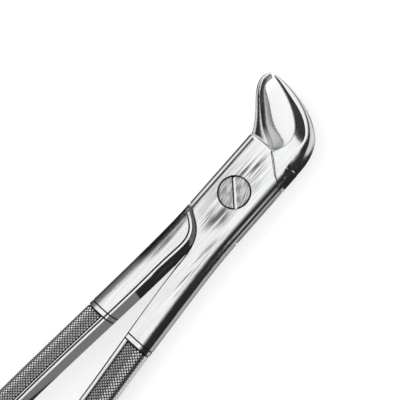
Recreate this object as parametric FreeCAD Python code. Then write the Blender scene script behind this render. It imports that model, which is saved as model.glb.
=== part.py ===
"""Dental extraction forceps with hawk-bill beaks and a screwed lap joint.

Frame: millimetres. The pivot axis is Z through the origin. +X runs along the joint towards the beaks,
the beaks hook towards +Y, and the forceps lie on their back at Z = 0 with the slotted screw facing +Z.

Two forged halves cross at the joint. The front half has the inner beak, the front plate and the -Y
handle. The back half has the outer beak, the back plate and the +Y handle. The plates are half as
thick as the joint and lie face to face; beaks and handles are full thickness. Plate and handle are the
same shape in both halves, turned over about the long axis. Only the beaks differ.
"""
import FreeCAD, Part
import math
import os

V = FreeCAD.Vector

# Joint
THICK = 8.4                # both plates together, along the pivot
HALF_WIDTH = 7.8
LAP_Z = THICK / 2
LAP_GAP = 0.02             # each plate's face stands this far off the lap plane
SIDE_RADIUS = 3.2          # long outer edges of the joint and the handles
END_X = 14.6               # end of the joint, at the crotch of the beaks
END_RADIUS = 1.3
BAR_REAR_X = -24.0         # the joint's bar ends inside the handles
SEAM_ANGLE = -39.4         # direction of the straight front seam's normal, from +X
SEAM_DISTANCE = 10.9       # pivot axis to the front seam
SEAM_GAP = 0.2             # plate edge to the shoulder it faces
SEAM_BEVEL = 0.2           # on both sides of each seam
LAP_GROOVE = 0.25          # depth of the V that parts the plates along the joint's sides
LAP_GROOVE_X = (-9.6, 7.8)

# Pivot screw
HEAD_RADIUS = 4.15
HEAD_THICK = 2.0
HEAD_GAP = 0.1             # radial, in the front half's counterbore
SEAT_GAP = 0.03            # under the head
SHANK_RADIUS = 2.8
SHANK_GAP = 0.04           # radial, in the front half
SHANK_SEAT = 0.8           # how deep the shank's end is let into the back half
THREAD_RADIUS = 2.2
THREAD_END = 0.1           # how far the thread stops short of the back face
SLOT_WIDTH = 0.9
SLOT_DEPTH = 1.0
SLOT_ANGLE = 46.0          # from +X, with the screw home
EDGE_BREAK = 0.2           # chamfer on the head, its counterbore and the thread's hole

# Handles, as the front half has them on the -Y side
HANDLE_ROOT_X = 4.0            # both handles run this far into the joint, to blend with its sides
HANDLE_OUTER = [(-9.0, -HALF_WIDTH), (-24.0, -8.45), (-49.0, -10.5), (-80.0, -13.15), (-108.0, -14.35)]
HANDLE_INNER = [(-22.8, -1.3), (-49.0, -3.75), (-80.0, -6.5), (-108.0, -7.6)]
TIP_CENTRE = (-127.0, -7.1)    # on the flat inner side; the outer side turns round it to the handle's end
TIP_RADIUS = 6.3
TIP_HEADING = 174.0        # the way the end points, degrees from +X
INNER_BEVEL = 0.5              # along the front edge of the handle's inner side
LEDGE_WIDTH = 0.5              # flat ledge along its back edge, below a bevel
LEDGE_DROP = 0.35
PLATE_EDGE = [(-8.5, 8.4), (-11.2, 4.05), (-13.7, 1.0), (-17.8, -0.85), HANDLE_INNER[0]]
SHOULDER_EDGE = [(-9.1, -8.4), (-11.8, -4.4), (-14.2, -1.85), (-16.6, -0.95), (-19.5, -0.95), (-24.0, -1.5),
                 (-31.0, -1.75)]
MERGE = (-31.0, -2.05)         # where the shoulder's edge has run into the handle's inner side

# Chequered grip: a sunk panel that the chequering fills, after a raised band between two grooves
GRIP_START_X = -45.0
GRIP_END_X = -129.0
GRIP_DEPTH = 0.35
GRIP_MARGIN = 1.1          # plain strip left beside the flat inner side
BAND_GROOVE_X = -43.6
BAND_GROOVE_WIDTH = 0.35
BAND_GROOVE_DEPTH = 0.15

ROOT_INSET = 0.06          # the outer beak's root runs this far inside the joint's surface
CLEAR = 1.0                # how far cutting shapes reach past what they cut
FAR = 140.0                # past the handles' ends

# Beaks: stations from root to tip.
# outer edge x, y; inward heading in degrees; front z, back z; depth from the outer edge to the front
# rim and to the back rim; ridge's distance from the outer edge, and how deep the rounding outside it is;
# hollow of the inner face; how far the rims lie below the ridges
INNER_BEAK = [
    (12.0, 7.25, -88, 7.4, 0.9, 6.9, 6.9, 5.8, 3.0, 0.05, 0.5),
    (13.6, 7.80, -76, 7.3, 0.8, 6.9, 7.3, 5.5, 3.0, 0.2, 0.5),
    (14.8, 8.25, -66, 7.25, 0.8, 5.1, 7.8, 3.6, 2.9, 0.6, 0.7),
    (16.2, 9.00, -60, 7.2, 0.85, 3.8, 5.6, 2.6, 2.6, 0.9, 0.75),
    (19.25, 11.25, -50, 6.9, 1.2, 2.7, 3.5, 1.65, 2.2, 0.95, 0.65),
    (22.75, 14.25, -55, 6.5, 1.8, 2.15, 2.5, 1.35, 1.8, 0.85, 0.45),
    (26.45, 15.90, -80, 5.8, 2.6, 1.65, 1.5, 1.05, 1.2, 0.5, 0.2),
    (29.05, 15.00, -128, 5.1, 3.3, 0.9, 0.9, 0.5, 0.6, 0.1, 0.0),
]
OUTER_BEAK = [
    (9.9, ROOT_INSET - HALF_WIDTH, 90, THICK - ROOT_INSET, ROOT_INSET, 7.25, 7.25, SIDE_RADIUS, SIDE_RADIUS,
     0.05, 0.0),
    (13.9, ROOT_INSET - HALF_WIDTH, 90, THICK - ROOT_INSET, ROOT_INSET, 7.25, 7.25, SIDE_RADIUS, SIDE_RADIUS,
     0.05, 0.0),
    (17.8, -7.55, 93, 8.25, 0.15, 5.9, 5.9, 3.1, 3.2, 0.3, 0.2),
    (21.7, -6.3, 112, 8.0, 0.5, 5.3, 5.3, 1.9, 2.8, 0.7, 1.0),
    (24.75, -3.75, 132, 7.6, 0.9, 4.6, 4.6, 1.5, 2.0, 0.9, 1.3),
    (27.05, 0.0, 150, 7.1, 1.4, 3.75, 3.75, 1.4, 1.4, 0.9, 1.0),
    (28.65, 4.5, 162, 6.5, 1.9, 2.85, 2.85, 1.45, 1.1, 0.7, 0.6),
    (29.45, 9.3, 172, 5.8, 2.6, 1.8, 1.8, 1.0, 0.8, 0.35, 0.3),
    (29.5, 13.6, 184, 5.1, 3.3, 0.65, 0.65, 0.35, 0.4, 0.08, 0.0),
]
RIM_BEVEL = 0.3
ROOT_GAP = 0.15            # each beak's root stands this far from the joint's mid plane, or more
QUARTER_HANDLE = 0.5523    # Bezier handle length of a quarter circle of radius 1


def point(xy, z=0.0):
    return V(xy[0], xy[1], z)


def line(a, b):
    return Part.LineSegment(a, b).toShape()


def curve(points):
    """Smooth edge through the given points."""
    spline = Part.BSplineCurve()
    spline.interpolate(points)
    return spline.toShape()


def prism(edges, z0, z1):
    """Solid between two heights, over a closed outline drawn at Z = 0."""
    face = Part.Face(Part.Wire(edges))
    face.translate(V(0, 0, z0))
    return face.extrude(V(0, 0, z1 - z0))


def region(edge_points, corners, z0, z1):
    """Solid bounded by a smooth edge, closed by straight lines through the corners."""
    path = [point(p) for p in edge_points]
    closing = [path[-1]] + [point(c) for c in corners] + [path[0]]
    edges = [curve(path)] + [line(a, b) for a, b in zip(closing, closing[1:])]
    return prism(edges, z0, z1)


def half_plane(angle, distance, z0, z1):
    """Everything further than a distance from the pivot axis, in the direction of an angle from +X."""
    reach = 60.0
    block = Part.makeBox(reach, 2 * reach, z1 - z0, V(distance, -reach, z0))
    block.rotate(V(0, 0, 0), V(0, 0, 1), angle)
    return block


def seam_bevel(angle, distance, z):
    """Wedge that takes the corner off a front or back face where it ends at a seam, at a distance."""
    half_length = 20.0
    wedge = Part.makeBox(2 * SEAM_BEVEL, 2 * half_length, 2 * SEAM_BEVEL, V(0, -half_length, 0))
    wedge.translate(V(-SEAM_BEVEL, 0, -SEAM_BEVEL))
    wedge.rotate(V(0, 0, 0), V(0, 1, 0), 45)
    wedge.translate(V(distance, 0, z))
    wedge.rotate(V(0, 0, 0), V(0, 0, 1), angle)
    return wedge


def turned_over(shape):
    """Half a turn about the long axis at mid thickness: front to back and -Y to +Y."""
    copy = shape.copy()
    copy.rotate(V(0, 0, LAP_Z), V(1, 0, 0), 180)
    return copy


def edges_along(shape, outline):
    """Edges of the shape's front and back faces that lie over the given outline edges."""
    found = []
    for edge in shape.Edges:
        if edge.BoundBox.ZLength > 0.001:
            continue
        middle = edge.valueAt((edge.FirstParameter + edge.LastParameter) / 2)
        spot = Part.Vertex(middle.x, middle.y, 0)
        if any(spot.distToShape(part)[0] < 0.01 for part in outline):
            found.append(edge)
    return found


def joint_bar():
    """Both plates of the joint as one bar, rounded along its sides and over its end."""
    bar = Part.makeBox(END_X - BAR_REAR_X, 2 * HALF_WIDTH, THICK, V(BAR_REAR_X, -HALF_WIDTH, 0))
    sides = [line(point((BAR_REAR_X, y)), point((END_X, y))) for y in (-HALF_WIDTH, HALF_WIDTH)]
    bar = bar.makeFillet(SIDE_RADIUS, edges_along(bar, sides))
    end = [face for face in bar.Faces if abs(face.CenterOfMass.x - END_X) < 0.01][0]
    return bar.makeFillet(END_RADIUS, end.Edges)


def around_tip(turn, radius):
    """Point on the handle's round end: 0 at its outer side, 90 at its very end on the inner side."""
    angle = math.radians(TIP_HEADING + 90 - turn)
    return V(TIP_CENTRE[0] + radius * math.cos(angle), TIP_CENTRE[1] + radius * math.sin(angle), 0)


def inner_side():
    """Points along the handle's flat inner side, from the joint to the end."""
    return [point(p) for p in HANDLE_INNER] + [point(TIP_CENTRE), around_tip(90, TIP_RADIUS)]


def handle(inset=0.0):
    """Full-thickness handle, flat inside and rounded outside, with its outside sunk by an inset."""
    radius = TIP_RADIUS - inset
    heading = around_tip(90, TIP_RADIUS) - point(TIP_CENTRE)
    outer = [V(x, y + inset, 0) for x, y in HANDLE_OUTER] + [around_tip(0, radius)]
    inner = inner_side()[:-1] + [around_tip(90, radius)]
    outer_path = Part.BSplineCurve()
    outer_path.interpolate(Points=outer, InitialTangent=V(-1, 0, 0), FinalTangent=heading.normalize())
    start = V(HANDLE_ROOT_X, outer[0].y, 0)
    corner = V(HANDLE_ROOT_X, inner[0].y, 0)
    side = [line(start, outer[0]), outer_path.toShape()]
    end = Part.Arc(outer[-1], around_tip(45, radius), inner[-1]).toShape()
    flat = curve(inner[::-1])
    body = prism(side + [end, flat, line(inner[0], corner), line(corner, start)], inset, THICK - inset)
    return body.makeFillet(SIDE_RADIUS - inset, edges_along(body, side + [end]))


def edge_cutter(path, z, corners):
    """Bar swept along an edge. Its corners are (distance out from the edge, height above z)."""
    run = curve(path)
    ahead = run.tangentAt(run.FirstParameter)
    out = V(ahead.y, -ahead.x, 0)
    section = [path[0] + out * distance + V(0, 0, height) for distance, height in corners]
    cutter = Part.Wire(run).makePipeShell([Part.makePolygon(section + section[:1])], True, False)
    cutter.translate(V(0, 0, z))
    return cutter


def inner_edges():
    """What is cut off along the inner side: a bevel on the front edge, a ledge below a bevel on the back."""
    beyond = inner_side()[1:]
    beyond.append(beyond[-1] + V(-2 * CLEAR, 0, 0))
    front_path = [point(p) for p in PLATE_EDGE] + beyond
    back_path = [point(p) for p in SHOULDER_EDGE[:-1]] + [point(MERGE)] + beyond
    bevel = [(CLEAR, CLEAR), (CLEAR, -CLEAR - INNER_BEVEL), (-CLEAR - INNER_BEVEL, CLEAR)]
    ledge = [(CLEAR, -CLEAR), (CLEAR, LEDGE_DROP), (-LEDGE_WIDTH, LEDGE_DROP),
             (-LEDGE_WIDTH - LEDGE_DROP - CLEAR, -CLEAR)]
    return [edge_cutter(front_path, THICK, bevel), edge_cutter(back_path, 0, ledge)]


def grip_cut(full, depth, x0, x1):
    """What is taken off the handle, down to a depth, between two places along it."""
    margin = [(x, y - GRIP_MARGIN) for x, y in HANDLE_INNER]
    around = [(-FAR, margin[-1][1]), (-FAR, -FAR), (margin[0][0], -FAR)]
    zone = region(margin, around, -CLEAR, THICK + CLEAR)
    slab = Part.makeBox(x1 - x0, 2 * FAR, THICK + 4 * CLEAR, V(x0, -FAR, -2 * CLEAR))
    return full.common(zone).common(slab).cut(handle(depth))


def plate_and_handle():
    """Front plate with the -Y handle: half thickness over the joint, full thickness behind it."""
    grip = handle()
    for depth, x0, x1 in (
        (GRIP_DEPTH, GRIP_END_X, GRIP_START_X),
        (BAND_GROOVE_DEPTH, BAND_GROOVE_X - BAND_GROOVE_WIDTH, BAND_GROOVE_X),
    ):
        grip = grip.cut(grip_cut(handle(), depth, x0, x1))
    edge_x, far_y = 1.5 * BAR_REAR_X, HALF_WIDTH + 2 * CLEAR
    outside = region(PLATE_EDGE, [(edge_x, HANDLE_INNER[0][1]), (edge_x, far_y), (PLATE_EDGE[0][0], far_y)],
                     LAP_Z - LAP_GAP, THICK + CLEAR)
    plate = joint_bar().cut(outside).cut(half_plane(SEAM_ANGLE, SEAM_DISTANCE, -CLEAR, THICK + CLEAR))
    half = plate.cut(seam_bevel(SEAM_ANGLE, SEAM_DISTANCE, THICK)).fuse(grip)
    front_x = 2 * END_X
    around = [(SHOULDER_EDGE[-1][0], far_y), (front_x, far_y), (front_x, -far_y), (SHOULDER_EDGE[0][0], -far_y)]
    half = half.cut(region(SHOULDER_EDGE, around, -CLEAR, LAP_Z + LAP_GAP))
    return half.cut(inner_edges())


def beak_root(side):
    """The joint's bar beyond the other half's plate, in that plate's layer.

    side is 1 for the inner beak (+Y, back layer) and -1 for the outer beak (-Y, front layer).
    """
    past_lap = LAP_GAP + 0.01
    z0, z1 = (0.0, LAP_Z + past_lap) if side > 0 else (LAP_Z - past_lap, THICK)
    beyond = half_plane(-side * SEAM_ANGLE, SEAM_DISTANCE + SEAM_GAP, z0, z1)
    reach = 3 * HALF_WIDTH
    own_side = Part.makeBox(reach, reach, THICK, V(0, ROOT_GAP if side > 0 else -reach - ROOT_GAP, 0))
    bevel = seam_bevel(-side * SEAM_ANGLE, SEAM_DISTANCE + SEAM_GAP, 0 if side > 0 else THICK)
    return joint_bar().common(beyond).common(own_side).cut(bevel)


def other_plate_zone(side):
    """Room that a beak's root leaves for the other half's plate, in that plate's layer."""
    z0, z1 = (-CLEAR, LAP_Z + LAP_GAP) if side > 0 else (LAP_Z - LAP_GAP, THICK + CLEAR)
    return half_plane(180 - side * SEAM_ANGLE, -SEAM_DISTANCE - SEAM_GAP, z0, z1)


def quarter(start, corner, end):
    """Quarter ellipse from start to end, inside their corner."""
    bezier = Part.BezierCurve()
    bezier.setPoles([start, start + (corner - start) * QUARTER_HANDLE, end + (corner - end) * QUARTER_HANDLE, end])
    return bezier.toShape()


def beak_section(station):
    """Closed section of a beak: hollow inner face, bevelled rims, rounded outer side."""
    x, y, heading, front, back, depth_front, depth_back, round_in, round_z, hollow, drop = station
    inward = V(math.cos(math.radians(heading)), math.sin(math.radians(heading)), 0)

    def at(depth, z):
        return V(x, y, 0) + inward * depth + V(0, 0, z)

    bevel = min(RIM_BEVEL, 0.3 * min(depth_front, depth_back))
    inner_back = at(depth_back, back + drop + bevel)
    inner_front = at(depth_front, front - drop - bevel)
    deepest = at((depth_front + depth_back) / 2 - hollow, (front + back) / 2)
    rim_front = at(depth_front - bevel, front - drop)
    rim_back = at(depth_back - bevel, back + drop)
    ridge_front, ridge_back = at(round_in, front), at(round_in, back)
    side_front, side_back = at(0, front - round_z), at(0, back + round_z)
    return Part.Wire([
        curve([inner_back, deepest, inner_front]),
        line(inner_front, rim_front),
        line(rim_front, ridge_front),
        quarter(ridge_front, at(0, front), side_front),
        line(side_front, side_back),
        quarter(side_back, at(0, back), ridge_back),
        line(ridge_back, rim_back),
        line(rim_back, inner_back),
    ])


def beak(stations):
    return Part.makeLoft([beak_section(s) for s in stations], True, False)


def lap_grooves():
    """V grooves along both sides of the joint, centred on the lap plane."""
    size = LAP_GROOVE * math.sqrt(2)
    rear, front = LAP_GROOVE_X
    grooves = []
    for side in (-1, 1):
        groove = Part.makeBox(front - rear, size, size, V(rear, -size / 2, -size / 2))
        groove.rotate(V(0, 0, 0), V(1, 0, 0), 45)
        groove.translate(V(0, side * HALF_WIDTH, LAP_Z))
        grooves.append(groove)
    return grooves


def cylinder(radius, z0, z1):
    return Part.makeCylinder(radius, z1 - z0, V(0, 0, z0))


def front_half():
    half = plate_and_handle().fuse([beak_root(1), beak(INNER_BEAK).cut(other_plate_zone(1))])
    head_z = THICK - HEAD_THICK
    bore = cylinder(SHANK_RADIUS + SHANK_GAP, -CLEAR, THICK + CLEAR)
    counterbore = cylinder(HEAD_RADIUS + HEAD_GAP, head_z - SEAT_GAP, THICK + CLEAR)
    radius = HEAD_RADIUS + HEAD_GAP
    lip = Part.makeCone(radius, radius + EDGE_BREAK, EDGE_BREAK, V(0, 0, THICK - EDGE_BREAK))
    return half.cut([bore, counterbore, lip])


def back_half():
    half = turned_over(plate_and_handle()).fuse([beak_root(-1), beak(OUTER_BEAK).cut(other_plate_zone(-1))])
    hole = cylinder(THREAD_RADIUS, -CLEAR, THICK + CLEAR)
    seat = cylinder(SHANK_RADIUS + SHANK_GAP, LAP_Z - SHANK_SEAT, THICK + CLEAR)
    lip = Part.makeCone(THREAD_RADIUS + EDGE_BREAK, THREAD_RADIUS, EDGE_BREAK)
    return half.cut([hole, seat, lip])


def pivot_screw():
    """Slotted shoulder screw: flat head, plain shank, and a thread shown as its plain core."""
    head_z = THICK - HEAD_THICK
    shank_z = LAP_Z - SHANK_SEAT
    head = cylinder(HEAD_RADIUS, head_z, THICK - EDGE_BREAK)
    top = Part.makeCone(HEAD_RADIUS, HEAD_RADIUS - EDGE_BREAK, EDGE_BREAK, V(0, 0, THICK - EDGE_BREAK))
    shank = cylinder(SHANK_RADIUS, shank_z, head_z)
    thread = cylinder(THREAD_RADIUS, THREAD_END + EDGE_BREAK, shank_z)
    thread_end = Part.makeCone(THREAD_RADIUS - EDGE_BREAK, THREAD_RADIUS, EDGE_BREAK, V(0, 0, THREAD_END))
    screw = head.fuse([top, shank, thread, thread_end])
    slot = Part.makeBox(3 * HEAD_RADIUS, SLOT_WIDTH, SLOT_DEPTH + CLEAR,
                        V(-1.5 * HEAD_RADIUS, -SLOT_WIDTH / 2, THICK - SLOT_DEPTH))
    slot.rotate(V(0, 0, 0), V(0, 0, 1), SLOT_ANGLE)
    return screw.cut(slot)


def write(name, shape):
    shape = shape.removeSplitter()
    solids = shape.Solids
    print(name, "solids", len(solids), "valid", shape.isValid(), "volume", round(shape.Volume, 2))
    shape.exportStep("parts/" + name + ".step")


def main():
    os.makedirs("parts", exist_ok=True)
    grooves = lap_grooves()
    write("front_half", front_half().cut(grooves))
    write("back_half", back_half().cut(grooves))
    write("pivot_screw", pivot_screw())


main()
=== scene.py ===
"""Looks of the extraction forceps: brushed and polished steel, chequered grips, studio and camera."""

import math

import bpy
from mathutils import Matrix, Vector
from mathutils.bvhtree import BVHTree

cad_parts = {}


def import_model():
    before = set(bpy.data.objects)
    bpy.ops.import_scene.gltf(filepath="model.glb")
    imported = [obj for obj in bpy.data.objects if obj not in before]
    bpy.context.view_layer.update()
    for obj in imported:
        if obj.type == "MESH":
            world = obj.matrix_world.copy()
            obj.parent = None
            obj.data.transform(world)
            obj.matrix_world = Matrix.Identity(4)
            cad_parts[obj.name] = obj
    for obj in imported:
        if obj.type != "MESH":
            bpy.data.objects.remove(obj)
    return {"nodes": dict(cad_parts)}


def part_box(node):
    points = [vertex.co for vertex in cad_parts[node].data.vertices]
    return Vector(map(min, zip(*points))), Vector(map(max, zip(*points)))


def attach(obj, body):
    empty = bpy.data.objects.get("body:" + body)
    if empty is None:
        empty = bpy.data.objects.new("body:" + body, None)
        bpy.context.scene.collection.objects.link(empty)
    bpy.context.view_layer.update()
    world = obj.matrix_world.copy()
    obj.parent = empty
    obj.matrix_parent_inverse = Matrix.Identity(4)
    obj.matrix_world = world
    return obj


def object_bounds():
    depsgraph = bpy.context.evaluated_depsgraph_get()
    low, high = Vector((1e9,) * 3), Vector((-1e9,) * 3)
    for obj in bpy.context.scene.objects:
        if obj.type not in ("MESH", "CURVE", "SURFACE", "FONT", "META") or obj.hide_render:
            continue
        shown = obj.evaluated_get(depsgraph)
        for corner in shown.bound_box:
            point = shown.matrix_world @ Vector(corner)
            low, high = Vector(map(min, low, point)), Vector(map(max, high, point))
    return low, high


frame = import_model()
cad_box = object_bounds()

MM = 0.001
BODY_OF = {"front_half": "front", "back_half": "back"}
SIDE_OF = {"front_half": -1, "back_half": 1}        # the side of the joint that each half's handle is on
BEAK_INWARD = {"front_half": (0.7, -0.7, 0), "back_half": (-0.7, 0.7, 0)}       # towards the other beak
UNDERSIDE, TOP = cad_box[0].z, cad_box[1].z
MIDDLE = (UNDERSIDE + TOP) / 2                      # mid thickness, where the two plates meet

# Camera: the joint's axis climbs to the right, seen a little from its -Y side
LENS = 200.0                    # mm
SENSOR = 36.0                   # mm
FRAME_WIDTH = 100 * MM          # what the picture spans at the screw
TILT = math.radians(18.0)       # from straight down on the joint, towards -Y
AXIS_RISE = math.radians(48.6)
SCREW_RIGHT, SCREW_UP = 8.54 * MM, 1.93 * MM        # of the picture's centre

# Chequering, in the panel that the CAD model sinks into each handle
GRIP_START = -45.0 * MM
GRIP_END = -129.0 * MM
GRIP_MARGIN = 1.1 * MM          # plain strip beside the flat inner side
GRIP_DEPTH = 0.35 * MM
CORNER_RADIUS = 3.2 * MM        # of the handle's outer edges, outside the panel
POINT_HEIGHT = 0.30 * MM
VALLEY_HEIGHT = 0.02 * MM
EDGE_GAP = 0.06 * MM            # between the chequering and the panel's rim
START_GAP = 0.25 * MM           # the same, where the chequering starts
ROOT_DEPTH = 0.1 * MM           # how far the chequering's underside lies in the handle
ROWS_ALONG = 184                # half diamonds along the handle
ROWS_AROUND = 32                # half diamonds round the section

# Where the steel's finish, or the shade painted on it, changes
BAND_GROOVE = (-43.95 * MM, -43.6 * MM)
START_GROOVE = (GRIP_START - 0.4 * MM, GRIP_START)
HEAD_RADIUS = 4.15 * MM
SLOT_ANGLE = math.radians(46.0)
SLOT_WIDTH = 0.9 * MM
GRAIN_ANGLE = math.radians(16.0)        # of the grinding marks on the screw's head
BEAKS_START = 14.0 * MM
LAP_DEPTH = 3.0 * MM            # flats nearer mid thickness than this are the ground lap faces
LAP_END = 12.0 * MM             # and they end here, towards the beaks
LAP_SHADE = (-19.0 * MM, -17.0 * MM)    # behind this stretch the painted shade on a lap face is darker
STREAKY_JOINT = (0.0, 0.4 * MM, 14.0 * MM, 6.0 * MM)           # oval patches where the brushed streaks are darker: centre, then half their size
STREAKY_SHOULDER = (-18.0 * MM, 6.6 * MM, 13.0 * MM, 2.9 * MM)

# Tones from 0 to 1, and cells of noise per metre along each axis
# the first tone is painted shade, for the grooves, the gap round the screw's head and the slot's corners
PAINTED_SHADE = 0.05
BRUSHED, STREAKED = 0.80, 0.13
POLISHED, CLOUDED = 0.78, 0.66
HEAD, HEAD_STREAKED, SLOT_FLOOR = 0.56, 0.24, 0.9
HAIRS = (110, 7000, 7000)
STREAKS = (80, 2100, 2100)
CLOUDS = (90, 160, 160)
GRIT = (4500, 4500, 4500)
HEAD_HAIRS = (300, 5000, 5000)
HEAD_STREAKS = (400, 3000, 3000)
POINT_GRAIN = (2500, 2500, 2500)
FLOOR_GRAIN = (900, 900, 900)

# Studio, as polished steel sees it
SOFTBOX_TILT = math.radians(30.0)       # the big soft light leans from straight up towards +Y
SOFTBOX_FULL = math.radians(50.0)       # it is full this far from its middle
SOFTBOX_END = math.radians(88.0)        # and gone this far from it
FLAGS = (                               # dark boards: direction, degrees to where each is full and ends
    ((-0.50, 0.68, 0.53), 26.0, 35.0),
    ((0.36, -0.62, 0.70), 12.0, 20.0),
    ((0.05, 0.88, 0.48), 6.0, 15.0),
)
FLAG_TONE, EDGE_TONE, BELOW_TONE = 0.03, 0.02, 0.75     # of the flags, past the softbox, and below
STEEL_SKY, FLOOR_SKY = 1.22, 0.85       # the world's strength for the steel, and for everything else
FLOOR_GLOW = 0.62                       # the floor's own light
FLOOR_REACH = 6.0                       # metres

# Cards close by: where they stand, and their tone at some heights
BOARDS_Y = 42.0 * MM
BOARDS_FOOT = -100.0 * MM
BOARDS_X = (-140.0 * MM, -28.0 * MM, -10.0 * MM)        # the handle's board, then the shoulder's
HANDLE_BOARD = ((-22 * MM, 0.01), (-2 * MM, 0.10), (28 * MM, 0.26), (75 * MM, 1.2))
SHOULDER_BOARD = ((6 * MM, 0.01), (48 * MM, 0.08), (110 * MM, 1.2))
JOINT_CARD_Y = -60.0 * MM
JOINT_CARD_X = (-10.5 * MM, 9.0 * MM)
JOINT_CARD_Z = (-10.0 * MM, 11.0 * MM)
STRIP_X = (9.0 * MM, -132.0 * MM)
STRIP_Y = (0.9 * MM, 4.5 * MM)          # from the half's outer side
STRIP_ROWS = 30
BETWEEN_X = (-36.0 * MM, -120.0 * MM)
BETWEEN_Y = (-5.0 * MM, 5.0 * MM)
CARD_LIFT = 0.05 * MM                   # of the two flat cards above the floor
CARD_TONE, BETWEEN_TONE = 0.5, 0.22

KEY_PLACE = Vector((-0.15, 0.45, 0.7))  # metres
KEY_SIZE = 0.5                          # metres
KEY_POWER = 1.2                         # watts


# ---------------------------------------------------------------- shader building

class Shader:
    """A node tree, with short calls for the nodes that the materials need."""

    def __init__(self, tree):
        self.nodes, self.links = tree.nodes, tree.links
        self.nodes.clear()

    def new(self, kind):
        return self.nodes.new("ShaderNode" + kind)

    def feed(self, socket, value):
        if isinstance(value, bpy.types.NodeSocket):
            self.links.new(value, socket)
        elif isinstance(value, tuple) and len(value) == 3 and socket.type == "RGBA":
            socket.default_value = (*value, 1)
        else:
            socket.default_value = value

    def maths(self, operation, *values):
        node = self.new("Math")
        node.operation = operation
        for socket, value in zip(node.inputs, values):
            self.feed(socket, value)
        return node.outputs["Value"]

    def all_of(self, first, *others):
        for other in others:
            first = self.maths("MULTIPLY", first, other)
        return first

    def any_of(self, first, *others):
        for other in others:
            first = self.maths("MAXIMUM", first, other)
        return first

    def dot(self, vector, towards):
        node = self.new("VectorMath")
        node.operation = "DOT_PRODUCT"
        self.feed(node.inputs[0], vector)
        self.feed(node.inputs[1], tuple(towards))
        return node.outputs["Value"]

    def split(self, vector):
        node = self.new("SeparateXYZ")
        self.feed(node.inputs["Vector"], vector)
        return [node.outputs[axis] for axis in "XYZ"]

    def spread(self, value, low, high, out_low=0.0, out_high=1.0):
        """Maps a value from one range to another, smoothly and clamped."""
        node = self.new("MapRange")
        node.interpolation_type = "SMOOTHSTEP"
        limits = {"From Min": low, "From Max": high, "To Min": out_low, "To Max": out_high}
        for key, number in limits.items():
            node.inputs[key].default_value = number
        self.feed(node.inputs["Value"], value)
        return node.outputs["Result"]

    def above(self, value, limit, soft):
        """0 up to a limit, and 1 past a soft edge."""
        return self.spread(value, limit, limit + soft)

    def below(self, value, limit, soft):
        """1 up to a limit, and 0 past a soft edge."""
        return self.spread(value, limit, limit + soft, 1.0, 0.0)

    def between(self, value, low, high, soft):
        """1 between two values and 0 outside them, with soft ends."""
        return self.all_of(self.above(value, low - soft, soft), self.below(value, high, soft))

    def vary(self, noise, low, high):
        """A number that a noise moves from one value to another."""
        return self.spread(noise, 0.3, 0.7, low, high)

    def mix(self, factor, low, high):
        """A number between two, by a factor."""
        node = self.new("Mix")
        self.feed(node.inputs["Factor"], factor)
        self.feed(node.inputs["A"], low)
        self.feed(node.inputs["B"], high)
        return node.outputs["Result"]

    def oval(self, x, y, centre_x, centre_y, half_x, half_y):
        """1 in the middle of an oval patch, fading to 0 at its edge."""
        along = self.maths("DIVIDE", self.maths("SUBTRACT", x, centre_x), half_x)
        across = self.maths("DIVIDE", self.maths("SUBTRACT", y, centre_y), half_y)
        reach = self.maths("ADD", self.maths("POWER", along, 2.0), self.maths("POWER", across, 2.0))
        return self.below(reach, 0.3, 0.7)

    def grey(self, value):
        """Steel's colour at a lightness, a trace cooler than grey."""
        node = self.new("CombineColor")
        for channel, share in (("Red", 0.985), ("Green", 0.9925), ("Blue", 1.0)):
            self.feed(node.inputs[channel], self.maths("MULTIPLY", value, share))
        return node.outputs["Color"]

    def noise(self, coords, scale, detail, turn=0.0):
        """Noise with its own scale along each axis, in cells per metre, turned about Z."""
        mapping = self.new("Mapping")
        mapping.vector_type = "TEXTURE"
        mapping.inputs["Rotation"].default_value = (0, 0, turn)
        mapping.inputs["Scale"].default_value = tuple(1 / s for s in scale)
        self.feed(mapping.inputs["Vector"], coords)
        texture = self.new("TexNoise")
        texture.inputs["Scale"].default_value = 1.0
        texture.inputs["Detail"].default_value = detail
        self.feed(texture.inputs["Vector"], mapping.outputs["Vector"])
        return texture.outputs["Fac"]


class Metal(Shader):
    """A metal material, with its surface, place and normal at hand."""

    def __init__(self, name):
        self.material = bpy.data.materials.new(name)
        self.material.use_nodes = True
        super().__init__(self.material.node_tree)
        self.bsdf = self.new("BsdfPrincipled")
        self.bsdf.inputs["Metallic"].default_value = 1.0
        self.links.new(self.bsdf.outputs["BSDF"], self.new("OutputMaterial").inputs["Surface"])
        self.place = self.new("TexCoord").outputs["Object"]
        self.normal = self.new("TexCoord").outputs["Normal"]

    def from_axis(self):
        """Distance from the screw's axis."""
        x, y, _ = self.split(self.place)
        squares = self.maths("ADD", self.maths("POWER", x, 2.0), self.maths("POWER", y, 2.0))
        return self.maths("SQRT", squares)

    def finish(self, colour, roughness, height, strength):
        self.feed(self.bsdf.inputs["Base Color"], colour)
        self.feed(self.bsdf.inputs["Roughness"], roughness)
        bump = self.new("Bump")
        bump.inputs["Strength"].default_value = strength
        bump.inputs["Distance"].default_value = 0.02 * MM
        self.feed(bump.inputs["Height"], height)
        self.feed(self.bsdf.inputs["Normal"], bump.outputs["Normal"])
        return self.material


# ---------------------------------------------------------------- materials

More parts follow.
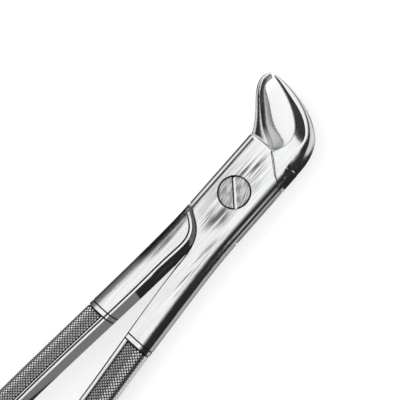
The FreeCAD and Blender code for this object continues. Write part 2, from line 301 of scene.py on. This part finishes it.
def forged_steel(name, beak_inward):
    """Stainless forging: brushed flats, polished sides, ground lap faces, beaks blasted inside; painted
    shade on the lap faces, in the grooves and round the screw's head.
    """
    m = Metal(name)
    x, y, z = m.split(m.place)
    facing_up = m.maths("ABSOLUTE", m.split(m.normal)[2])
    flat = m.spread(facing_up, 0.93, 0.995)
    hair = m.noise(m.place, HAIRS, detail=4)
    streak = m.noise(m.place, STREAKS, detail=4)
    cloud = m.noise(m.place, CLOUDS, detail=2)

    streaky_joint = m.all_of(m.oval(x, y, *STREAKY_JOINT), m.spread(cloud, 0.36, 0.56, 0.3, 1.0))
    patch_or_peak = m.any_of(streaky_joint, m.oval(x, m.maths("ABSOLUTE", y), *STREAKY_SHOULDER))
    streaked = m.all_of(m.spread(streak, 0.4, 0.6), m.maths("ADD", patch_or_peak, 0.12))
    tone = m.mix(flat, m.mix(cloud, POLISHED, CLOUDED), m.mix(streaked, BRUSHED, STREAKED))
    rough = m.mix(flat, m.vary(cloud, 0.12, 0.20), m.vary(hair, 0.22, 0.36))

    depth = m.maths("ABSOLUTE", m.maths("SUBTRACT", z, MIDDLE))
    lap = m.all_of(flat, m.below(depth, LAP_DEPTH, 0.2 * MM), m.below(x, LAP_END, 0.5 * MM))
    # painted shade: the lap faces, down between the two plates, are darkened
    tone = m.mix(lap, tone, m.spread(x, *LAP_SHADE, 0.06, 0.26))
    rough = m.mix(lap, rough, 0.42)

    inward = m.spread(m.dot(m.normal, beak_inward), 0.25, 0.4)
    blasted = m.all_of(inward, m.above(x, BEAKS_START, 1 * MM), m.below(facing_up, 0.6, 0.15))
    grit = m.noise(m.place, GRIT, detail=2)
    tone = m.mix(blasted, tone, m.spread(grit, 0.35, 0.65, 0.62, 0.88))
    rough = m.mix(blasted, rough, 0.5)

    ring = m.between(m.from_axis(), HEAD_RADIUS, HEAD_RADIUS + 0.18 * MM, 0.02 * MM)
    band = m.between(x, *BAND_GROOVE, 0.02 * MM)
    start = m.between(x, *START_GROOVE, 0.01 * MM)
    # painted shade in the two grooves and in the gap round the screw's head
    painted_shade = m.any_of(band, start, m.all_of(ring, m.above(depth, 2.5 * MM, 0.5 * MM)))
    tone = m.mix(painted_shade, tone, PAINTED_SHADE)
    rough = m.mix(painted_shade, rough, 0.55)
    height = m.mix(blasted, m.all_of(hair, flat), grit)
    return m.finish(m.grey(tone), rough, height, 0.35)


def screw_steel():
    """Ground steel: a fine diagonal grain across the head, with painted shade at its rim and in the slot's
    corners.
    """
    m = Metal("screw_steel")
    hair = m.noise(m.place, HEAD_HAIRS, detail=4, turn=GRAIN_ANGLE)
    streak = m.noise(m.place, HEAD_STREAKS, detail=3, turn=GRAIN_ANGLE)
    tone = m.mix(m.spread(streak, 0.4, 0.6), HEAD, HEAD_STREAKED)

    rim = m.above(m.from_axis(), HEAD_RADIUS - 0.14 * MM, 0.06 * MM)
    across = m.maths("ABSOLUTE", m.dot(m.place, (-math.sin(SLOT_ANGLE), math.cos(SLOT_ANGLE), 0)))
    corner = m.between(across, 0.34 * SLOT_WIDTH, 0.6 * SLOT_WIDTH, 0.02 * MM)
    slot = m.below(m.split(m.place)[2], TOP - 0.15 * MM, 0.05 * MM)
    # painted shade at the head's rim and in the slot's corners
    painted_shade = m.any_of(rim, m.all_of(corner, slot))
    tone = m.mix(painted_shade, m.mix(slot, tone, SLOT_FLOOR), PAINTED_SHADE)
    rough = m.mix(painted_shade, m.vary(hair, 0.26, 0.40), 0.5)
    return m.finish(m.grey(tone), rough, hair, 0.4)


def chequer_steel():
    """Cut points: bright where the hand rubs them, with painted shade down in their valleys."""
    m = Metal("chequer_steel")
    height = m.new("Attribute")
    height.attribute_name = "height"
    patch_or_peak = m.spread(height.outputs["Fac"], 0.10, 0.5)
    grain = m.noise(m.place, POINT_GRAIN, detail=2)
    # painted shade: the valleys get a near-black tone
    tone = m.mix(patch_or_peak, 0.02, m.vary(grain, 0.84, 0.96))
    rough = m.mix(patch_or_peak, 0.5, m.vary(grain, 0.14, 0.24))
    return m.finish(m.grey(tone), rough, grain, 0.2)


def floor_paint():
    """Matt white sheet that glows a little, so that shadows on it stay pale."""
    m = Metal("floor_paint")
    m.bsdf.inputs["Metallic"].default_value = 0.0
    m.bsdf.inputs["Specular IOR Level"].default_value = 0.1
    m.bsdf.inputs["Emission Color"].default_value = (1, 1, 1, 1)
    m.bsdf.inputs["Emission Strength"].default_value = FLOOR_GLOW
    tooth = m.noise(m.place, FLOOR_GRAIN, detail=2)
    return m.finish(m.grey(m.vary(tooth, 0.49, 0.51)), 0.9, tooth, 0.05)


def glow(name, stops):
    """Light or dark card: a tone at each of some heights, blended between them."""
    material = bpy.data.materials.new(name)
    material.use_nodes = True
    s = Shader(material.node_tree)
    height = s.split(s.new("TexCoord").outputs["Object"])[2]
    tone = stops[0][1]
    for (low, _), (high, level) in zip(stops, stops[1:]):
        tone = s.mix(s.spread(height, low, high), tone, level)
    emission = s.new("Emission")
    s.feed(emission.inputs["Strength"], tone)
    s.links.new(emission.outputs["Emission"], s.new("OutputMaterial").inputs["Surface"])
    return material


def give(obj, material):
    obj.data.materials.clear()
    obj.data.materials.append(material)


# ---------------------------------------------------------------- chequering

def surface_of(node):
    return BVHTree.FromObject(frame["nodes"][node], bpy.context.evaluated_depsgraph_get())


def inner_side(tree, x, side):
    """How far a handle's inner side is from the long axis, at mid thickness."""
    return abs(tree.ray_cast(Vector((x, 0, MIDDLE)), Vector((0, side, 0)))[0].y)


def outer_side(tree, x, side):
    """How far a half's outer side is from the long axis, just above the groove between the halves."""
    above_groove = MIDDLE + 0.3 * MM
    return abs(tree.ray_cast(Vector((x, side, above_groove)), Vector((0, -side, 0)))[0].y)


def section_point(inner, outer, share):
    """Point and outward normal on the sunk panel, a share of the way round it, on a +Y handle."""
    top, bottom = TOP - GRIP_DEPTH, UNDERSIDE + GRIP_DEPTH
    radius = CORNER_RADIUS - GRIP_DEPTH
    start = inner + GRIP_MARGIN + EDGE_GAP
    flat = outer - radius - start
    arc = radius * math.pi / 2
    wall = top - bottom - 2 * radius
    along = share * (2 * flat + 2 * arc + wall)
    if along <= flat:
        return (start + along, top), (0, 1)
    along -= flat
    if along <= arc:
        y, z = math.sin(along / radius), math.cos(along / radius)
        return (outer - radius + radius * y, top - radius + radius * z), (y, z)
    along -= arc
    if along <= wall:
        return (outer, top - radius - along), (1, 0)
    along -= wall
    if along <= arc:
        y, z = math.cos(along / radius), -math.sin(along / radius)
        return (outer - radius + radius * y, bottom + radius + radius * z), (y, z)
    return (outer - radius - (along - arc), bottom), (0, -1)


def chequering(node):
    """Closed skin of four-sided points round one handle, standing in its sunk panel."""
    side, tree = SIDE_OF[node], surface_of(node)
    first, last = GRIP_START - START_GAP, GRIP_END + EDGE_GAP
    verts, heights, faces = [], [], []
    for layer in ("points", "root"):
        for i in range(ROWS_ALONG + 1):
            x = first + (last - first) * i / ROWS_ALONG
            inner, outer = inner_side(tree, x, side), outer_side(tree, x, side)
            for j in range(ROWS_AROUND + 1):
                (y, z), (across, up) = section_point(inner, outer, j / ROWS_AROUND)
                inside = 0 < i < ROWS_ALONG and 0 < j < ROWS_AROUND
                peak = inside and (i + j) % 2 == 1 and layer == "points"
                rise = -ROOT_DEPTH
                if layer == "points":
                    rise = POINT_HEIGHT if peak else VALLEY_HEIGHT
                verts.append((x, side * (y + across * rise), z + up * rise))
                heights.append(float(peak))
    row = ROWS_AROUND + 1
    root = row * (ROWS_ALONG + 1)
    for i in range(ROWS_ALONG):
        for j in range(ROWS_AROUND):
            a, b = i * row + j, i * row + j + 1
            c, d = a + row, b + row
            faces += [(a, b, d), (a, d, c)] if (i + j) % 2 == 0 else [(a, b, c), (b, d, c)]
            faces += [(root + a, root + d, root + b), (root + a, root + c, root + d)]
    rim = list(range(row))
    rim += [i * row + ROWS_AROUND for i in range(1, ROWS_ALONG + 1)]
    rim += [ROWS_ALONG * row + j for j in reversed(range(ROWS_AROUND))]
    rim += [i * row for i in reversed(range(1, ROWS_ALONG))]
    for a, b in zip(rim, rim[1:] + rim[:1]):
        faces += [(b, a, root + a), (b, root + a, root + b)]
    if side > 0:
        faces = [face[::-1] for face in faces]
    mesh = bpy.data.meshes.new("chequering_" + node)
    mesh.from_pydata(verts, [], faces)
    mesh.attributes.new("height", "FLOAT", "POINT").data.foreach_set("value", heights)
    piece = bpy.data.objects.new(mesh.name, mesh)
    bpy.context.collection.objects.link(piece)
    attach(piece, BODY_OF[node])
    return piece


# ---------------------------------------------------------------- studio

def sheet(name, corners, material, seen_by_camera=False):
    """Flat stage object, in strips. The steel mirrors only the cards, and the camera sees only the floor."""
    mesh = bpy.data.meshes.new(name)
    quads = len(corners) // 2 - 1
    mesh.from_pydata(corners, [], [(2 * i, 2 * i + 1, 2 * i + 3, 2 * i + 2) for i in range(quads)])
    obj = bpy.data.objects.new(name, mesh)
    bpy.context.collection.objects.link(obj)
    give(obj, material)
    obj.visible_camera = seen_by_camera
    obj.visible_shadow = seen_by_camera
    obj.visible_diffuse = seen_by_camera
    obj.visible_glossy = not seen_by_camera


def floor():
    corners = [(x, y, UNDERSIDE) for x in (-FLOOR_REACH, FLOOR_REACH) for y in (-FLOOR_REACH, FLOOR_REACH)]
    sheet("floor", corners, floor_paint(), seen_by_camera=True)


def upright(name, y, x_range, z_range, stops):
    """Card that stands along the forceps."""
    sheet(name, [(x, y, z) for x in x_range for z in z_range], glow(name, stops))


def cards():
    """What the steel mirrors close by: dark boards on the +Y side, and grey cards low down."""
    for name, x_range, stops in (("beside_handle", BOARDS_X[:2], HANDLE_BOARD),
                                 ("beside_shoulder", BOARDS_X[1:], SHOULDER_BOARD)):
        upright(name, BOARDS_Y, x_range, (BOARDS_FOOT, stops[-1][0]), stops)
    upright("beside_joint", JOINT_CARD_Y, JOINT_CARD_X, JOINT_CARD_Z, ((0, CARD_TONE),))

    low = UNDERSIDE + CARD_LIFT
    tree = surface_of("front_half")
    strip = []
    for i in range(STRIP_ROWS + 1):
        x = STRIP_X[0] + (STRIP_X[1] - STRIP_X[0]) * i / STRIP_ROWS
        edge = -outer_side(tree, x, SIDE_OF["front_half"])
        strip += [(x, edge - gap, low) for gap in STRIP_Y]
    sheet("bounce_strip", strip, glow("bounce_strip", ((0, CARD_TONE),)))

    between = [(x, y, low) for x in BETWEEN_X for y in BETWEEN_Y]
    sheet("between_handles", between, glow("between_handles", ((0, BETWEEN_TONE),)))


def world():
    """Soft tent for the floor; for the steel, one big soft light, dark flags and a grey floor below."""
    studio = bpy.data.worlds.new("studio")
    bpy.context.scene.world = studio
    studio.use_nodes = True
    s = Shader(studio.node_tree)
    towards = s.new("TexCoord").outputs["Generated"]
    x, _, z = s.split(towards)
    softbox = s.dot(towards, (0, math.sin(SOFTBOX_TILT), math.cos(SOFTBOX_TILT)))
    tone = s.spread(softbox, math.cos(SOFTBOX_END), math.cos(SOFTBOX_FULL), EDGE_TONE, 1.0)
    for direction, full, end in FLAGS:
        flag = s.dot(towards, Vector(direction).normalized())
        edge, core = math.cos(math.radians(end)), math.cos(math.radians(full))
        tone = s.all_of(tone, s.spread(flag, edge, core, 1.0, FLAG_TONE))
    # Below it is grey, but stays dark towards +Y and -Y, which is what the forceps' long sides mirror
    below = s.all_of(s.below(z, -0.25, 0.15), s.above(s.maths("ABSOLUTE", x), 0.22, 0.10))
    tone = s.any_of(tone, s.all_of(below, BELOW_TONE))
    steel_sees, rest_sees = s.new("Background"), s.new("Background")
    s.feed(steel_sees.inputs["Strength"], s.all_of(tone, STEEL_SKY))
    rest_sees.inputs["Strength"].default_value = FLOOR_SKY
    mix = s.new("MixShader")
    s.feed(mix.inputs["Fac"], s.new("LightPath").outputs["Is Glossy Ray"])
    s.links.new(rest_sees.outputs["Background"], mix.inputs[1])
    s.links.new(steel_sees.outputs["Background"], mix.inputs[2])
    s.links.new(mix.outputs["Shader"], s.new("OutputWorld").inputs["Surface"])
    for background in (steel_sees, rest_sees):
        background.inputs["Color"].default_value = (1, 1, 1, 1)


def key_light():
    data = bpy.data.lights.new("key", "AREA")
    data.size = KEY_SIZE
    data.energy = KEY_POWER
    light = bpy.data.objects.new("key", data)
    light.location = KEY_PLACE
    light.rotation_euler = (-KEY_PLACE).to_track_quat("-Z", "Y").to_euler()
    light.visible_glossy = False
    bpy.context.collection.objects.link(light)


def camera():
    """Long lens, rolled so the joint's axis climbs to the right."""
    along = Vector((1, 0, 0))
    across = Vector((0, math.cos(TILT), math.sin(TILT)))
    back = along.cross(across)
    right = along * math.cos(AXIS_RISE) - across * math.sin(AXIS_RISE)
    up = along * math.sin(AXIS_RISE) + across * math.cos(AXIS_RISE)
    head = Vector((0, 0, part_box("pivot_screw")[1].z))
    place = head - right * SCREW_RIGHT - up * SCREW_UP + back * (FRAME_WIDTH * LENS / SENSOR)
    data = bpy.data.cameras.new("camera")
    data.lens, data.sensor_width = LENS, SENSOR
    data.clip_start, data.clip_end = 0.01, 20
    obj = bpy.data.objects.new("camera", data)
    bpy.context.collection.objects.link(obj)
    obj.matrix_world = Matrix.Translation(place) @ Matrix((right, up, back)).transposed().to_4x4()
    bpy.context.scene.camera = obj
    bpy.context.scene.view_settings.view_transform = "Standard"


for half, body in BODY_OF.items():
    give(frame["nodes"][half], forged_steel("forged_steel_" + body, BEAK_INWARD[half]))
give(frame["nodes"]["pivot_screw"], screw_steel())
points = chequer_steel()
for half in BODY_OF:
    give(chequering(half), points)
floor()
cards()
world()
key_light()
camera()
